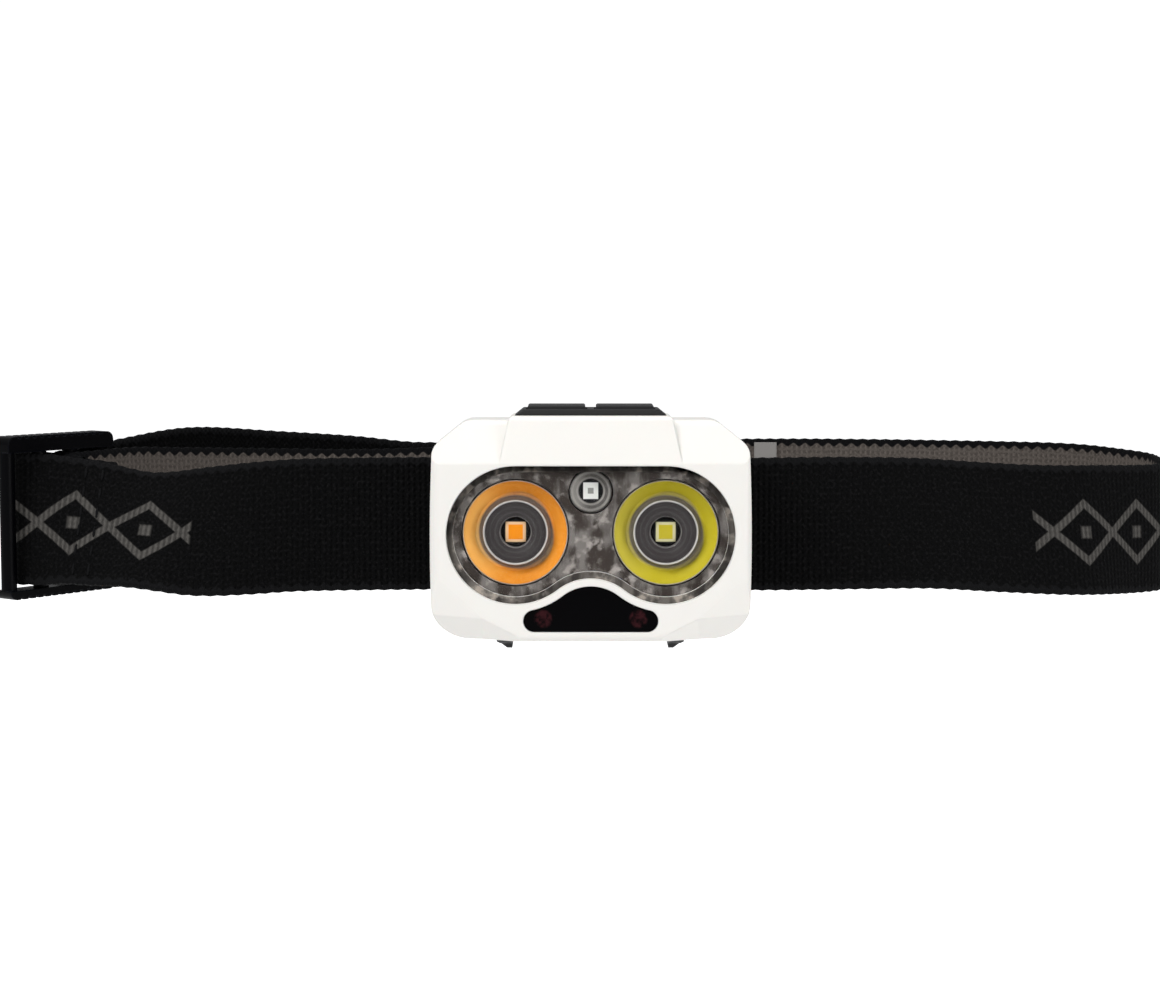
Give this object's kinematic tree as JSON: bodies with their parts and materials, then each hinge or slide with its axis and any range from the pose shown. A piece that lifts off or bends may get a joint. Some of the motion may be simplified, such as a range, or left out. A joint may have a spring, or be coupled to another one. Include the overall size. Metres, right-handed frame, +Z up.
{
  "type": "headlamp",
  "caption": "Tilting sensor headlamp with a clear goggle-shaped window over two reflecting optics, top buttons, a hinged bracket and an adjustable elastic headband.",
  "frame": {"origin": "middle of the flat back face of the webbing behind the bracket, which lies on the forehead", "axes": "+Y into the forehead (the beam points to -Y), +Z up, +X to the right of someone facing the lamp"},
  "size_m": [0.2405, 0.0993, 0.0482],
  "materials": {
    "shell_white": "satin moulded white",
    "case_black": "fine spark texture",
    "rubber_black": "matte",
    "lens_clear": "polished clear polycarbonate",
    "optic_clear": "polished acrylic",
    "holder_grey": "dark grey",
    "led_package": "white ceramic",
    "board_metal": "white solder mask",
    "board_green": "solder mask",
    "window_black": "polished, infrared passing",
    "dome_dark": "dark epoxy",
    "switch_metal": "plated",
    "steel": "satin",
    "cell_foil": "laminated foil",
    "foam": "open foam",
    "bracket_black": "satin moulded black",
    "slider_black": "satin moulded black",
    "webbing": "woven elastic, black outside and grey inside",
    "thread": "twisted thread",
    "tag_cloth": "thin woven tape"
  },
  "bodies": {
    "headband": {"bracket": "bracket_black", "hinge_pin": "steel", "hinge_washers": "rubber_black", "strap_main": "webbing", "strap_label": "tag_cloth"},
    "lamp": {"front_cover": "shell_white", "rear_case": "case_black", "case_seal": "rubber_black", "case_screws": "steel", "lens_window": "lens_clear", "lens_seal": "rubber_black", "optics_holder": "holder_grey", "spot_collimator": "optic_clear", "flood_collimator": "optic_clear", "spot_led": "led_package", "flood_led": "led_package", "centre_lens": "optic_clear", "centre_led": "led_package", "led_board": "board_metal", "sensor_window": "window_black", "sensor_emitter": "dome_dark", "sensor_receiver": "dome_dark", "sensor_board": "board_green", "main_board": "board_green", "switch_board": "board_green", "switch_left": "switch_metal", "switch_right": "switch_metal", "button_bezel": "rubber_black", "battery_cell": "cell_foil", "battery_foam": "foam", "usb_socket": "switch_metal", "charge_light": "optic_clear"},
    "left_button": {"button_left": "rubber_black", "plunger_left": "case_black"},
    "right_button": {"button_right": "rubber_black", "plunger_right": "case_black"},
    "port_flap": {"usb_cover": "rubber_black"},
    "adjuster": {"slider": "slider_black", "strap_sewn_end": "webbing", "strap_tail": "webbing", "stitching": "thread"}
  },
  "joints": [
    {"name": "tilt", "type": "hinge", "parent": "headband", "child": "lamp", "pos_m": [0, -0.0125, -0.0195], "axis": [1, 0, 0], "range_deg": [0, 60]},
    {"name": "left_press", "type": "slide", "parent": "lamp", "child": "left_button", "axis": [0, 0, -1], "range_m": [0, 0.0006], "stiffness_N_per_m": 1500, "springref_m": -0.0003},
    {"name": "right_press", "type": "slide", "parent": "lamp", "child": "right_button", "axis": [0, 0, -1], "range_m": [0, 0.0006], "stiffness_N_per_m": 1500, "springref_m": -0.0003},
    {"name": "flap_swing", "type": "hinge", "parent": "lamp", "child": "port_flap", "pos_m": [0.029, -0.0168, -0.0005], "axis": [0, 0, -1], "range_deg": [0, 100]},
    {"name": "slider_travel", "type": "slide", "parent": "headband", "child": "adjuster", "axis": [0.6157, 0.788, 0], "range_m": [-0.005, 0.005]}
  ]
}
